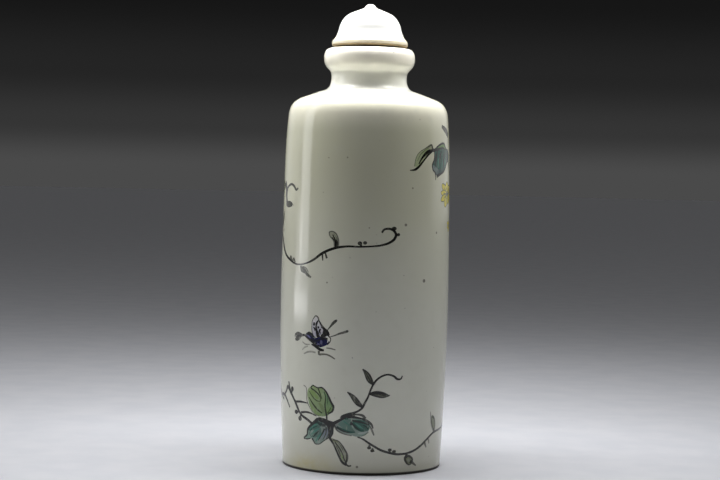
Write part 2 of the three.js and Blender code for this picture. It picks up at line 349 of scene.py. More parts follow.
def climbing_shoot(b):
    """The shoot that climbs from the right-hand leaf, with three narrow leaves and a curled end."""
    b.line([(2.0, 1.1), (3.1, 1.6), (4.2, 1.9), (5.1, 2.3), (5.7, 2.8), (6.1, 3.6), (6.7, 4.8),
            (7.0, 5.7), (7.5, 6.9)],
           (0.4, 0.36, 0.3, 0.34, 0.28, 0.3))
    b.line([(7.5, 6.9), (8.1, 7.7), (9.0, 8.35), (10.1, 8.65), (11.2, 8.35), (12.0, 7.8), (12.6, 7.85),
            (12.85, 8.4)],
           (0.34, 0.3, 0.28, 0.36, 0.18))
    narrow_leaf(b, (5.8, 2.9), (3.0, 5.5), 0.72)
    narrow_leaf(b, (7.6, 6.9), (5.6, 9.6), 0.8)
    narrow_leaf(b, (6.9, 5.25), (10.6, 5.0), 0.85)
    b.line([(6.9, 5.25), (8.0, 5.5), (9.3, 5.4), (10.2, 5.1)], (0.3, 0.5, 0.44, 0.2), cover=0.85)


def narrow_leaf(b, base, tip, belly):
    """A small dark leaf: two sides that part by belly, and hatching along the rib."""
    base, tip = np.array(base, float), np.array(tip, float)
    across = np.array([base[1] - tip[1], tip[0] - base[0]]) / np.linalg.norm(tip - base)
    t = np.linspace(0, 1, 7)[:, None]
    half = 0.5 * belly * np.sin(math.pi * t ** 0.85)
    rib = base + (tip - base) * t + 0.12 * belly * across * np.sin(2 * math.pi * t)
    b.wash(rib + across * half, (rib - across * half)[::-1], tint=OLIVE, cover=0.6)
    for reach, weights, strength in [
        (1, (0.26, 0.2, 0.14), 0.9), (-1, (0.26, 0.24, 0.14), 0.9),
        (0.5, (0.1, 0.14, 0.06), 0.6), (-0.5, (0.1, 0.1, 0), 0.6),
    ]:
        b.line(rib + reach * across * half, weights, cover=strength)
    b.line(rib, (0.34, 0.2, 0.1), cover=0.8)


def trailing_shoot(b):
    """The shoot that trails to the right along the foot, with berries, two leaves and thorns."""
    b.line([(4.9, -2.3), (5.9, -2.65), (6.9, -3.3), (8.0, -3.95), (9.2, -4.6), (10.6, -5.05),
            (12.3, -5.4), (14.3, -5.4)],
           (0.2, 0.32, 0.36, 0.36, 0.34))
    b.line([(14.3, -5.4), (16.0, -5.0), (17.8, -4.2), (19.5, -3.2), (21.5, -2.3), (24.4, -1.95),
            (27.3, -1.6)],
           (0.34, 0.36, 0.36, 0.34, 0.26))
    for x, y in [(7.05, -4.2), (7.65, -4.7), (10.9, -4.6), (11.75, -4.9)]:
        b.dot(x, y, 0.36, squash=0.75)
        b.line([(x, y), (x + 0.1, y - 0.5 if x > 10 else y + 0.5)], (0.4, 0.26), cover=0.8)
        b.line([(x - 0.2, y - 0.1), (x + 0.4, y + 0.05)], (0.3, 0.4), tint=FAINT_INK, cover=0.8)
    b.wash(
        [(14.3, -5.7), (13.9, -6.2), (14.3, -7.1), (15.0, -7.5)],
        [(15.0, -7.5), (15.75, -7.2), (15.9, -6.5), (15.2, -5.9), (14.3, -5.7)],
        tint=OLIVE, cover=0.75,
    )
    b.line([(14.5, -5.8), (14.1, -6.2), (14.4, -6.9), (15.0, -7.4), (15.6, -7.3)],
           (0.6, 0.4, 0.24, 0.2), cover=0.8)
    b.line([(14.2, -5.7), (15.2, -5.95), (15.85, -6.5), (15.8, -7.1)], (0.5, 0.34, 0.3, 0.3),
           cover=0.85)
    b.line([(15.3, -6.8), (16.0, -7.2), (16.8, -7.7)], (0.5, 0.4, 0.2), cover=0.75)
    b.line([(14.8, -6.4), (15.1, -6.9)], (0.36, 0.3), tint=WHITE, cover=0.15)
    b.wash(
        [(21.9, -2.2), (20.9, -1.0), (20.45, 0.3), (20.6, 0.9)],
        [(20.6, 0.9), (21.4, 0.7), (22.0, -0.2), (22.1, -1.0), (21.9, -2.2)],
        tint=OLIVE, cover=0.72,
    )
    b.line([(21.9, -2.2), (20.9, -1.0), (20.45, 0.3), (20.15, 1.6)], (0.5, 0.4, 0.4, 0.16), cover=0.6)
    b.line([(21.9, -2.2), (22.1, -1.0), (21.8, 0.1), (20.8, 0.8)], (0.5, 0.3, 0.3, 0.5), cover=0.5)
    b.line([(18.7, -3.5), (19.0, -4.1), (19.4, -4.7)], (0.4, 0.44, 0.2), tint=FAINT_INK, cover=0.75)
    b.line([(19.8, -3.2), (20.1, -3.6), (20.2, -4.1)], (0.34, 0.34, 0.2), tint=FAINT_INK, cover=0.65)


def knot(b):
    """The dark knot that the leaves of the lower spray grow from."""
    b.wash(
        [(-2.9, 0.5), (-2.4, 0.75), (-0.9, 0.45), (0.3, 0.2), (0.9, 0.0), (0.6, -0.9), (0.5, -2.0),
         (-0.1, -2.9)],
        [(-0.1, -2.9), (-0.5, -2.3), (-0.4, -1.6), (-0.7, -0.8), (-1.4, -0.2), (-2.3, 0.0),
         (-2.9, 0.5)],
        tint=INK, cover=0.95,
    )
    b.line([(-2.6, 0.5), (-1.5, 0.3), (-0.5, -0.2), (0.0, -0.6)], (0.3, 0.6, 0.8, 0.4), cover=0.95)
    b.line([(-0.2, -2.5), (0.15, -1.7), (0.1, -0.9)], (0.06, 0.12, 0.06), tint=SLATE, cover=0.6)


def lower_spray(b):
    """The spray over the foot. Its knot comes last, over the stalks of the leaves."""
    leaves = (green_leaf, left_teal_leaf, right_teal_leaf, olive_leaf)
    for part in (*leaves, bare_twig, climbing_shoot, trailing_shoot, knot):
        part(b)


def front_vine(b):
    """The vine across the front: it comes from the left, dips, and ends in a curl."""
    b.line([(-17.6, 2.6), (-15.1, 0.6), (-12.9, -1.6), (-10.7, -2.6), (-8.7, -3.2), (-7.4, -3.2),
            (-5.1, -2.65), (-4.0, -2.1), (-2.7, -1.2), (-1.4, -0.55), (0.2, 0.0), (2.1, 0.3),
            (4.3, 0.3), (6.5, 0.4)],
           (0.9, 0.8, 0.6, 0.44, 0.34, 0.24, 0.26, 0.36, 0.42, 0.4, 0.32, 0.28, 0.26))
    b.line([(6.5, 0.4), (8.3, 0.65), (9.6, 1.1), (10.5, 1.8), (10.75, 2.5), (10.3, 3.2), (9.3, 3.5),
            (8.5, 3.3), (8.2, 2.8)],
           (0.26, 0.3, 0.36, 0.42, 0.4, 0.36, 0.3))
    b.dot(4.4, 0.9, 0.4, squash=0.85, cover=0.95)
    b.dot(5.3, 1.0, 0.36, squash=0.85, cover=0.85)
    b.line([(4.4, 0.85), (4.7, 0.35)], (0.3, 0.3))
    b.dot(10.4, 3.55, 0.46, squash=0.75)
    b.dot(11.2, 2.5, 0.3)
    b.line([(10.7, 2.4), (11.2, 2.5)], (0.3, 0.34))
    b.wash([(0.0, 0.0), (-0.2, 1.2), (-1.1, 2.2), (-1.2, 2.7)],
           [(-1.2, 2.7), (-0.6, 2.85), (0.1, 2.5), (0.55, 1.6), (0.0, 0.0)],
           tint=OLIVE, cover=0.45)
    b.wash([(0.0, 0.0), (-0.1, 0.9), (0.2, 1.5)], [(0.2, 1.5), (0.6, 0.8), (0.55, 0.1), (0.0, 0.0)],
           tint=INK, cover=0.7)
    b.line([(0.0, 0.0), (-0.25, 1.2), (-1.1, 2.15), (-1.2, 2.7)], (0.4, 0.22, 0.14), cover=0.68)
    b.line([(-1.2, 2.7), (-0.6, 2.85), (0.1, 2.5), (0.55, 1.6), (0.6, 0.1)], (0.16, 0.2, 0.22, 0.36),
           cover=0.68)
    b.line([(0.2, 0.1), (0.0, 1.3), (-0.5, 2.3)], (0.34, 0.28, 0.14), cover=0.85)
    b.line([(-0.2, 1.3), (-0.6, 1.8)], (0.14, 0.2), cover=0.7)
    b.line([(0.4, 0.4), (0.3, 1.5), (-0.3, 2.5)], (0.2, 0.14, 0.06), cover=0.6)
    b.line([(-2.4, -1.2), (-2.3, -2.3)], (0.34, 0.2), cover=0.85)
    b.line([(-1.85, -0.9), (-1.5, -1.9)], (0.26, 0.34), cover=0.85)
    b.line([(-11.0, -2.6), (-10.6, -2.0), (-10.1, -2.7)], (0.44, 0.5, 0.4), cover=0.75)
    b.line([(-9.9, -2.9), (-9.5, -2.3), (-9.0, -3.0)], (0.4, 0.44, 0.36), cover=0.75)
    b.wash([(-7.3, -3.4), (-7.0, -4.3), (-5.8, -4.9), (-4.7, -5.4)],
           [(-4.7, -5.4), (-5.4, -4.4), (-6.5, -3.5), (-7.3, -3.4)],
           tint=OLIVE, cover=0.45)
    b.line([(-7.3, -3.4), (-7.1, -4.2), (-6.2, -4.7)], (0.36, 0.4, 0.14), cover=0.8)
    b.line([(-6.9, -3.6), (-6.3, -4.2), (-5.6, -4.9), (-4.7, -5.35)], (0.4, 0.6, 0.44, 0.3), cover=0.8)
    b.line([(-6.6, -3.5), (-5.9, -3.8), (-5.3, -4.5)], (0.16, 0.26, 0.1), cover=0.65)


def high_twigs(b):
    """The curled tendril, the stem and the ring-shaped bud high on the left."""
    b.line([(0.0, 0.6), (0.5, 1.5), (1.4, 1.95), (2.5, 2.1), (3.4, 1.7), (4.1, 1.15), (4.7, 1.5)],
           (0.5, 0.44, 0.36, 0.44, 0.3), cover=0.85)
    b.line([(-1.3, 2.3), (-0.3, 1.1), (-0.2, 0.0), (0.2, -1.1)], (1.2, 1.1, 0.9, 0.7), cover=0.88)
    b.dot(1.3, -1.45, 1.65, squash=0.37)
    b.dot(1.5, -1.5, 0.5, tint=OLIVE, cover=0.6, squash=0.4)
    b.line([(2.6, -1.4), (3.3, -1.6)], (0.14, 0.12), tint=FAINT_INK, cover=0.5)
    b.wash([(-5.6, 3.3), (-3.6, 2.9), (-1.2, 1.9)],
           [(-1.2, 1.9), (-2.6, 0.6), (-4.4, -0.2), (-5.6, 0.6), (-5.6, 3.3)], tint=OLIVE, cover=0.7)
    b.line([(-5.6, 3.3), (-3.6, 2.9), (-1.2, 1.9)], (0.4, 0.4, 0.3))


def hanging_olive_leaf(b):
    """The narrow leaf that hangs to the left of the upper knot and ends in a long point."""
    b.wash(
        [(-0.2, 0.0), (-0.6, 0.9), (-1.5, 0.65), (-2.5, 0.2), (-3.5, -0.25), (-4.3, -1.0),
         (-4.65, -1.8), (-4.85, -2.9)],
        [(-4.85, -2.9), (-4.0, -3.0), (-2.9, -2.1), (-2.2, -1.25), (-1.1, -0.5), (-0.2, 0.0)],
        tint=OLIVE, end_tint=PALE_GREEN, cover=0.5,
    )
    b.line([(-0.3, 0.1), (-0.6, 0.9), (-1.5, 0.65), (-2.5, 0.2), (-3.5, -0.25), (-4.3, -1.0),
            (-4.65, -1.8), (-4.85, -2.9)], (0.36, 0.28, 0.14, 0.1, 0.1, 0.1), cover=0.75)
    b.wash([(-0.5, -0.1), (-1.5, 0.0), (-2.7, -0.7)],
           [(-2.7, -0.7), (-3.4, -1.6), (-2.3, -1.1), (-0.5, -0.1)], tint=INK, cover=0.6)
    b.line([(-0.3, 0.0), (-1.4, -0.7), (-2.3, -1.45), (-3.2, -2.3), (-4.0, -3.05), (-4.8, -3.5),
            (-5.8, -3.6)],
           (0.4, 0.34, 0.3, 0.34, 0.4, 0.14))
    b.line([(-0.4, 0.0), (-1.5, -0.2), (-2.5, -0.8), (-3.3, -1.6), (-3.9, -2.5)],
           (0.36, 0.5, 0.36, 0.2), cover=0.88)
    b.line([(-1.3, 0.45), (-2.4, 0.0), (-3.5, -0.8), (-4.2, -1.9)], (0.08, 0.14, 0.08), cover=0.6)
    b.line([(-1.5, 0.3), (-2.3, -0.1), (-3.2, -0.8)], (0.1, 0.2, 0.1), tint=PALE_GREEN, cover=0.6)


def hanging_teal_leaf(b):
    """The broad dark leaf that hangs to the right of the upper knot, with a pale green upper edge,
    and pale streaks and dark veins that drop from its rib."""
    b.wash(
        [(0.2, 0.0), (1.2, 0.65), (2.3, 1.1), (4.1, 1.15), (4.7, 0.5), (6.3, 0.0), (6.7, -1.3),
         (5.3, -2.3)],
        [(5.3, -2.3), (3.9, -3.5), (2.0, -4.2), (0.9, -4.6), (0.5, -4.0), (-0.35, -3.4), (-0.45, -2.7),
         (0.1, -1.6), (0.2, 0.0)],
        tint=TEAL, cover=0.93,
    )
    b.wash([(-0.4, -3.3), (-0.4, -2.6), (0.4, -2.8)],
           [(0.4, -2.8), (1.6, -3.6), (0.9, -4.5), (0.4, -3.9), (-0.4, -3.3)],
           tint=WHITE, cover=0.2)
    b.wash([(0.3, 0.0), (1.2, 0.6), (2.3, 1.05), (4.1, 1.1)],
           [(4.1, 1.1), (4.8, 0.4), (3.0, 0.4), (1.5, 0.2), (0.3, 0.0)],
           tint=PALE_GREEN, cover=0.6)
    for x, y in [(2.1, -0.9), (3.6, -1.3), (5.0, -0.7)]:
        b.line([(x, y), (x - 0.6, y - 1.1), (x - 0.7, y - 2.2)], (0.16, 0.5, 0.16), tint=PALE_TEAL,
               cover=0.7)
    for x, y, drop in [(1.2, -0.1, 3.0), (2.7, -0.1, 2.2), (4.2, 0.1, 3.4), (5.6, -0.3, 2.4)]:
        b.line([(x, y), (x - 0.6, y - 0.5 * drop), (x - 0.9, y - drop)], (0.3, 0.6, 0.16), cover=0.8)
    b.wash([(0.6, -4.4), (1.0, -3.6), (2.0, -3.3)],
           [(2.0, -3.3), (3.6, -3.2), (2.0, -4.1), (0.6, -4.4)], tint=SLATE, cover=0.5)
    b.line([(0.3, 0.0), (1.6, 0.25), (3.1, 0.45), (5.0, 0.1)], (0.4, 0.34, 0.2))
    b.line([(0.2, 0.0), (1.2, 0.65), (2.3, 1.1), (4.1, 1.15), (4.7, 0.5), (6.3, 0.0)],
           (0.36, 0.3, 0.3, 0.3, 0.3))
    b.line([(6.3, 0.0), (6.7, -1.3), (5.3, -2.3), (3.9, -3.5), (2.0, -4.2), (0.9, -4.6)],
           (0.28, 0.24, 0.24, 0.36, 0.5))
    b.line([(0.2, -0.1), (0.1, -1.6), (-0.45, -2.7), (-0.3, -3.4), (0.4, -4.0), (0.6, -5.2)],
           (0.34, 0.24, 0.3, 0.24, 0.28, 0.16))


def upper_leaves(b):
    """The pair of leaves high on the right, hanging from one knot, and the twig above them."""
    hanging_teal_leaf(b)
    hanging_olive_leaf(b)
    b.dot(0.0, 0.0, 0.34)
    b.line([(3.1, 4.3), (4.2, 3.9), (5.5, 3.4), (6.7, 2.7)], (0.5, 0.9, 1.1, 0.8), cover=0.85)


def butterfly(b):
    """A butterfly with its spotted wings up, a blue body, clubbed feelers and bent legs."""
    # The blue of the body, with its smudged upper edge
    b.wash(
        [(-3.4, 1.5), (-3.0, 1.85), (-2.5, 2.1), (-2.0, 1.95), (-1.5, 1.85)],
        [(-1.5, 1.85), (-1.2, 1.2), (-1.2, 0.9), (-2.3, 1.3), (-3.4, 1.5)],
        tint=SLATE, cover=0.9,
    )
    b.line([(-2.9, 1.6), (-2.4, 1.85), (-1.9, 1.6), (-1.4, 1.4)], (0.3, 0.56, 0.6, 0.4), cover=0.8)
    b.wash(
        [(-3.4, 1.4), (-2.6, 1.6), (-1.9, 1.5), (-1.3, 1.0), (-0.7, 1.2), (0.0, 1.4), (1.2, 1.1),
         (1.8, 0.6)],
        [(1.8, 0.6), (1.5, 0.1), (0.7, -0.25), (0.1, -0.5), (-0.6, -0.1), (-1.9, 0.65), (-3.4, 1.4)],
        tint=NAVY, cover=0.95,
    )
    b.line([(-3.4, 1.35), (-2.2, 0.7), (-1.0, 0.05), (-0.2, -0.4)], (0.2, 0.34, 0.44, 0.5), cover=0.9)
    b.line([(-1.9, 0.9), (-1.0, 0.6), (0.0, 0.9), (0.6, 1.1)], (0.2, 0.34, 0.34, 0.2), cover=0.6)
    b.line([(-2.85, 1.5), (-2.45, 1.3), (-2.05, 1.0)], (0.08, 0.26, 0.12), tint=LILAC, cover=0.9)
    b.line([(0.15, 0.8), (0.25, 0.4), (0.15, 0.1)], (0.2, 0.5, 0.24), tint=LILAC, cover=0.5)
    b.line([(-0.1, 0.05), (-0.45, 0.1), (-0.75, -0.05)], (0.2, 0.24, 0.1), tint=LILAC, cover=0.55)
    b.line([(1.05, 0.3), (1.3, 0.25), (1.4, 0.4)], (0.08, 0.12, 0.08), tint=LILAC, cover=0.5)
    # The left wing
    b.wash(
        [(-0.95, 1.0), (-1.45, 1.5), (-1.75, 2.3), (-1.75, 3.3), (-1.65, 4.2), (-1.3, 4.7),
         (-0.95, 4.95)],
        [(-0.95, 4.95), (-0.5, 4.7), (-0.35, 4.3), (-0.75, 3.6), (-0.85, 2.9), (-0.7, 2.1),
         (-0.95, 1.0)],
        tint=LILAC, end_tint=WHITE, cover=0.7,
    )
    b.line([(-1.2, 4.2), (-1.35, 3.9), (-1.5, 3.5)], (0.2, 0.4, 0.2), tint=WHITE, cover=0.9)
    b.line([(-1.5, 2.7), (-1.3, 2.1), (-1.15, 1.5), (-1.0, 1.1)], (0.2, 0.36, 0.3, 0.2), tint=WHITE,
           cover=0.45)
    b.dot(-1.3, 3.55, 0.24, squash=1.4)
    b.line([(-1.45, 3.0), (-1.2, 2.8), (-1.0, 2.4)], (0.14, 0.3, 0.34), cover=0.9)
    b.line([(-0.95, 1.1), (-1.45, 1.5), (-1.75, 2.3), (-1.78, 3.3), (-1.68, 4.1), (-1.4, 4.6)],
           (0.2, 0.14, 0.1, 0.12), cover=0.8)
    b.line([(-1.45, 4.5), (-0.95, 5.0), (-0.5, 4.75), (-0.3, 4.25)], (0.14, 0.2, 0.24, 0.26),
           tint=FAINT_INK, cover=0.8)
    # The vein between the wings, and the right wing
    b.wash(
        [(-0.4, 4.1), (-0.7, 3.5), (-0.75, 2.9), (-0.55, 2.2), (-0.3, 1.5)],
        [(-0.3, 1.5), (0.3, 1.9), (0.6, 2.4), (0.5, 3.0), (0.1, 3.5), (-0.4, 4.1)],
        tint=WHITE, end_tint=LILAC, cover=0.75,
    )
    b.line([(-0.45, 4.2), (-0.75, 3.7), (-0.85, 3.0), (-0.7, 2.3), (-0.5, 1.8), (-0.4, 1.3)],
           (0.18, 0.36, 0.26, 0.36, 0.55, 0.6), cover=0.95)
    b.dot(-0.4, 3.0, 0.22)
    b.line([(0.1, 2.75), (-0.15, 2.4), (-0.05, 2.1), (0.1, 2.0)], (0.24, 0.34, 0.34, 0.2), cover=0.95)
    b.line([(0.35, 2.7), (0.3, 2.35), (0.15, 2.1)], (0.2, 0.3, 0.12), tint=WHITE, cover=0.5)
    b.dot(0.35, 3.05, 0.22, squash=0.8)
    b.wash(
        [(0.5, 3.0), (1.1, 2.5), (1.5, 2.2), (1.7, 1.6), (1.3, 1.5)],
        [(1.3, 1.5), (0.6, 1.4), (0.0, 1.45), (0.45, 2.0), (0.6, 2.5), (0.5, 3.0)],
        tint=INK, cover=0.93,
    )
    b.wash([(-0.1, 1.5), (0.6, 1.5), (1.2, 1.5)], [(1.2, 1.5), (1.0, 0.9), (0.4, 0.8), (-0.1, 1.5)],
           tint=INK, cover=0.8)
    b.line([(-0.35, 4.25), (0.05, 3.7), (0.4, 3.2), (0.85, 2.75), (1.4, 2.35), (1.7, 1.7)],
           (0.2, 0.3, 0.4, 0.44, 0.4))
    b.line([(-0.3, 1.8), (-0.05, 1.65), (0.05, 1.8)], (0.1, 0.14, 0.1), tint=LILAC, cover=0.7)
    b.line([(1.1, 1.45), (1.4, 1.5), (1.65, 1.4)], (0.1, 0.22, 0.16), tint=WHITE, cover=0.8)
    b.dot(1.25, 1.1, 0.28, squash=0.7)
    b.line([(1.75, 1.0), (1.55, 0.8), (1.5, 0.45)], (0.12, 0.2, 0.12), tint=WHITE, cover=0.85)
    b.line([(1.65, 1.6), (2.0, 1.3), (2.05, 0.9), (1.85, 0.5), (1.4, 0.15)],
           (0.26, 0.18, 0.14, 0.2, 0.3), cover=0.9)
    b.dot(1.25, 0.25, 0.18, tint=NAVY)
    # The tail, the feelers and the legs
    b.line([(-1.85, -0.05), (-1.2, -0.25), (-0.5, -0.6), (0.2, -0.9), (0.8, -0.95)],
           (0.2, 0.34, 0.42, 0.46, 0.3))
    b.line([(-3.5, 1.4), (-4.4, 1.4), (-5.2, 1.55), (-6.1, 1.35)], (0.2, 0.6, 0.66, 0.2), cover=0.85)
    b.line([(-4.3, 1.25), (-5.0, 0.95), (-5.5, 0.65), (-6.0, 0.5)], (0.3, 0.8, 0.8, 0.3), cover=0.85)
    b.line([(-5.0, 1.2), (-5.6, 1.1), (-6.2, 1.1)], (0.3, 0.4, 0.2), cover=0.6)
    b.dot(-3.6, 1.45, 0.24)
    b.line([(1.4, 2.6), (2.0, 3.3), (2.5, 3.9), (3.0, 4.35)], (0.14, 0.24, 0.42, 0.42), cover=0.85)
    b.dot(3.05, 4.38, 0.2, cover=0.8)
    b.line([(2.0, 1.5), (2.8, 1.75), (3.6, 2.1), (4.4, 2.35), (5.1, 2.6)],
           (0.14, 0.18, 0.28, 0.34, 0.38), cover=0.8)
    b.dot(5.1, 2.62, 0.19, cover=0.75)
    b.line([(1.25, -0.5), (2.1, -0.55), (3.0, -0.75)], (0.16, 0.22, 0.16), tint=FAINT_INK, cover=0.75)
    b.line([(-0.2, -1.1), (-0.2, -1.7), (0.4, -1.65), (1.3, -1.65), (2.1, -1.9), (2.9, -2.35)],
           (0.4, 0.34, 0.26, 0.26, 0.24, 0.2), tint=FAINT_INK, cover=0.8)
    b.line([(-4.0, 0.25), (-3.2, -0.15), (-2.2, -0.1)], (0.16, 0.26, 0.16), tint=FAINT_INK, cover=0.5)
    b.line([(-4.0, -1.2), (-3.4, -0.7), (-2.6, -0.45)], (0.2, 0.26, 0.2), tint=FAINT_INK, cover=0.45)
    b.line([(-3.6, -1.85), (-2.6, -1.45), (-1.7, -1.35), (-0.9, -1.45)], (0.2, 0.28, 0.3, 0.24),
           tint=FAINT_INK, cover=0.55)


def yellow_flower(b, petals=9, reach=3.7, squash=0.6):
    """A yellow flower seen a little from the side: outlined petals fanned round a dark eye."""
    for k in range(petals):
        turn = 2 * math.pi * (k + 0.3) / petals
        along = np.array([math.cos(turn), squash * math.sin(turn)])
        across = np.array([-math.sin(turn), squash * math.cos(turn)])
        t = np.linspace(0.1, 1, 6)[:, None]
        half = 0.95 * np.sin(math.pi * (0.12 + 0.86 * t) ** 1.5)
        length = reach * (0.88 + 0.12 * math.cos(3 * turn))
        left, right = length * t * along + half * across, length * t * along - half * across
        b.wash(left, right[::-1], tint=YELLOW, cover=0.92)
        b.line(left, (0.14, 0.18, 0.14), tint=OLIVE, cover=0.85)
        b.line(right, (0.14, 0.18, 0.14), tint=OLIVE, cover=0.85)
        b.line(length * t[:4] * along, (0.2, 0.2, 0.1), tint=OLIVE, cover=0.8)
    b.dot(0, 0, 0.55, tint=OLIVE, squash=0.7)
    b.dot(0.1, 0.1, 0.25, squash=0.7)


def broad_leaf(b, base, tip, belly, tint, end_tint, bow=0.3):
    """A leaf with a bowed rib. Its sides swell by a sine of the way along, fullest near the base, and
    three veins on each side leave the rib at even steps."""
    base, tip = np.array(base, float), np.array(tip, float)
    across = np.array([base[1] - tip[1], tip[0] - base[0]]) / np.linalg.norm(tip - base)
    t = np.linspace(0, 1, 8)[:, None]
    rib = base + (tip - base) * t + bow * across * np.sin(math.pi * t)
    half = 0.5 * belly * np.sin(math.pi * t ** 0.75)
    b.wash(rib + across * half, (rib - across * half)[::-1], tint=tint, end_tint=end_tint, cover=0.8)
    for side in (1, -1):
        for k in (1, 3, 5):
            middle = (rib[k] + rib[k + 1]) / 2 + side * across * 0.45 * half[k]
            vein = [rib[k], middle, rib[k + 1] + side * across * 0.85 * half[k + 1]]
            b.line(vein, (0.24, 0.22, 0.1), cover=0.8)
            b.line(vein + (rib[1] - rib[0]) * 0.5, (0.1, 0.26, 0.1), tint=end_tint, cover=0.8)
        b.line(rib + side * across * half, (0.36, 0.34, 0.24))
    b.line(rib, (0.36, 0.32, 0.16))


def far_side_branch():
    """What the front doesn't show, plainer: one branch climbs round the back from the trailing shoot
    to the upper leaves, with leaves, buds and yellow flowers."""
    b = Brush(110, 30)
    b.line([(-9.5, -22.8), (-5.0, -21.0), (-1.5, -16.5), (1.0, -10.0), (2.2, -3.0), (1.2, 5.0),
            (-1.6, 13.0), (-5.5, 20.0), (-9.0, 25.4), (-12.0, 27.5), (-15.1, 26.9)],
           (0.16, 0.3, 0.34, 0.4, 0.44, 0.42, 0.4, 0.36, 0.3, 0.26))
    b.line([(1.0, -10.0), (5.0, -6.5), (9.5, -5.0), (12.6, -6.2)], (0.3, 0.28, 0.24, 0.12))
    b.line([(1.2, 5.0), (5.5, 9.0), (10.5, 10.5), (14.5, 13.5)], (0.34, 0.3, 0.24, 0.12))
    b.line([(-1.6, 13.0), (-4.5, 14.2), (-6.0, 17.5)], (0.3, 0.24, 0.2))
    broad_leaf(b, (-1.5, -16.5), (-7.5, -13.0), 3.0, TEAL, PALE_TEAL)
    broad_leaf(b, (0.4, -12.4), (6.6, -14.6), 3.2, GREEN, PALE_GREEN, bow=-0.4)
    broad_leaf(b, (9.5, -5.0), (13.0, -0.6), 2.5, TEAL, PALE_TEAL)
    broad_leaf(b, (2.2, -3.0), (-3.4, 1.4), 2.8, GREEN, PALE_GREEN)
    broad_leaf(b, (5.5, 9.0), (9.2, 4.4), 2.6, TEAL, PALE_TEAL, bow=-0.3)
    broad_leaf(b, (-3.6, 17.0), (1.6, 21.6), 2.7, GREEN, PALE_GREEN)
    narrow_leaf(b, (10.5, 10.5), (12.6, 6.6), 1.1)
    narrow_leaf(b, (-6.8, 22.2), (-3.2, 27.0), 1.2)
    narrow_leaf(b, (5.0, -6.5), (5.6, -2.2), 1.1)
    for x, y in [(12.8, -6.4), (13.3, -5.6), (14.8, 13.9), (14.0, 14.4), (-3.4, 9.0), (-2.8, 8.0)]:
        b.dot(x, y, 0.32)
    yellow_flower(Brush(74, 49.2), reach=4.2)
    yellow_flower(Brush(133, 34.5, size=1.15, turn=20), petals=11, squash=0.8)
    yellow_flower(Brush(79.5, 43.5, size=0.47), petals=6, squash=0.7)


def far_side_vine():
    """The plant that the vine on the front comes from, behind the left edge."""
    b = Brush(-125, 30)
    b.line([(1.0, -29.4), (-1.0, -24.0), (1.2, -17.0), (0.4, -9.0), (-2.2, -1.0), (-0.6, 6.0),
            (4.0, 10.5), (9.8, 12.2)],
           (0.44, 0.4, 0.4, 0.36, 0.34, 0.3, 0.26, 0.16))
    b.line([(-2.2, -1.0), (-6.4, 4.6), (-7.0, 12.0), (-3.0, 18.0), (3.6, 21.0), (12.8, 20.3)],
           (0.3, 0.3, 0.26, 0.24, 0.16))
    b.line([(1.2, -17.0), (5.4, -15.0), (9.0, -15.2), (12.2, -13.0)], (0.3, 0.24, 0.14))
    broad_leaf(b, (-1.0, -24.0), (-6.6, -21.0), 3.0, GREEN, PALE_GREEN)
    broad_leaf(b, (0.8, -13.0), (-4.6, -9.4), 2.8, TEAL, PALE_TEAL)
    broad_leaf(b, (-1.4, -3.4), (3.6, -6.8), 2.8, GREEN, PALE_GREEN, bow=-0.3)
    broad_leaf(b, (-6.9, 9.6), (-11.6, 7.0), 2.4, TEAL, PALE_TEAL)
    narrow_leaf(b, (2.6, 9.2), (5.0, 4.6), 1.1)
    narrow_leaf(b, (11.2, 12.6), (12.2, 15.6), 1.2)
    narrow_leaf(b, (5.4, -15.0), (7.6, -11.2), 1.1)
    for x, y in [(9.0, -15.8), (9.9, -15.6), (-7.4, 12.6), (-7.8, 11.8)]:
        b.dot(x, y, 0.3)
    yellow_flower(Brush(-121, 52.4, size=1.05, turn=-15), petals=10, squash=0.75)


def specks():
    """Iron specks in the glaze: those of the front where they show, and the rest scattered."""
    for angle, height, radius in [
        (27.5, 43.8, 0.26), (56, 42.4, 0.22), (32.5, 50.2, 0.18), (2.2, 43.2, 0.14),
        (-26.9, 55.2, 0.13), (-13.4, 55.3, 0.15), (43.2, 34.0, 0.32), (-25.8, 33.5, 0.18),
        (26.6, 35.0, 0.1), (27.9, 29.3, 0.1), (-7.2, 20.6, 0.12), (55.5, 22.1, 0.1), (-2.8, 1.5, 0.24),
        (-77, 42.2, 0.3), (-83, 29.4, 0.3),
    ]:
        Brush(angle, height).dot(0, 0, radius, tint=IRON, cover=min(0.3 + 1.4 * radius, 0.75))
    scatter = np.random.default_rng(11)
    for _ in range(SCATTERED_SPECKS):
        angle = scatter.uniform(*HIDDEN_SIDE)
        brush = Brush(angle - 360 * (angle > SEAM), scatter.uniform(3, 60))
        brush.dot(0, 0, scatter.uniform(0.1, 0.26), tint=IRON, cover=scatter.uniform(0.4, 0.7))


def paint_the_wall():
    """Lays all the paint: first what the front doesn't show, and the specks over everything."""
    far_side_branch()
    far_side_vine()
    butterfly(Brush(160, 51, mirror=True, turn=8))
    upper_leaves(Brush(52.2, 56.9))
    high_twigs(Brush(-72.0, 48.3))
    front_vine(Brush(-20.6, 39.6))
    butterfly(Brush(-30.2, 22.6))
    lower_spray(Brush(-21.7, 9.1))
    specks()


def winding(points, outline):
    """How many times a closed outline goes round each point: its edges that pass upwards to the
    right of the point, less those that pass downwards."""
    start, end = outline[:, None], np.roll(outline, -1, axis=0)[:, None]
    edge, to_point = end - start, points[None] - start
    left = edge[..., 0] * to_point[..., 1] - edge[..., 1] * to_point[..., 0] > 0
    rising = (start[..., 1] <= points[None, :, 1]) & (end[..., 1] > points[None, :, 1])
    falling = (start[..., 1] > points[None, :, 1]) & (end[..., 1] <= points[None, :, 1])
    return (rising & left).sum(axis=0) - (falling & ~left).sum(axis=0)


